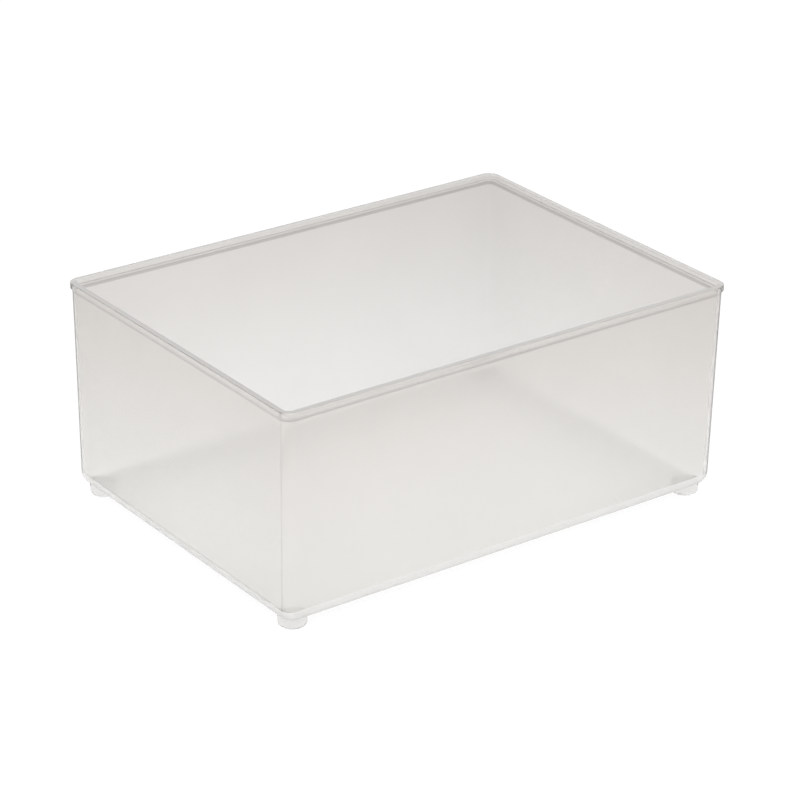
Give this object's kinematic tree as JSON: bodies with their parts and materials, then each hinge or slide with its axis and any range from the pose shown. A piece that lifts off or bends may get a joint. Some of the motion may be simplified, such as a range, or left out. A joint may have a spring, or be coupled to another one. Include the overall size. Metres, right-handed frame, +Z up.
{
  "type": "open storage box",
  "caption": "Open-topped rectangular storage tub in translucent plastic with a flat lipped rim and short round corner feet, for keeping small things on a desk or shelf.",
  "frame": {"origin": "on the surface that the box stands on, under the middle of the tub", "axes": "+X along the long side to the right, +Y from front to back, +Z up through the open top"},
  "size_m": [0.22, 0.158, 0.0952],
  "materials": {
    "frosted_plastic": "translucent natural polypropylene with a fine satin haze",
    "clear_plastic": "clear and glossy"
  },
  "bodies": {
    "root": {"tub": "frosted_plastic", "foot_front_left": "clear_plastic", "foot_front_right": "clear_plastic", "foot_back_left": "clear_plastic", "foot_back_right": "clear_plastic"}
  },
  "joints": []
}
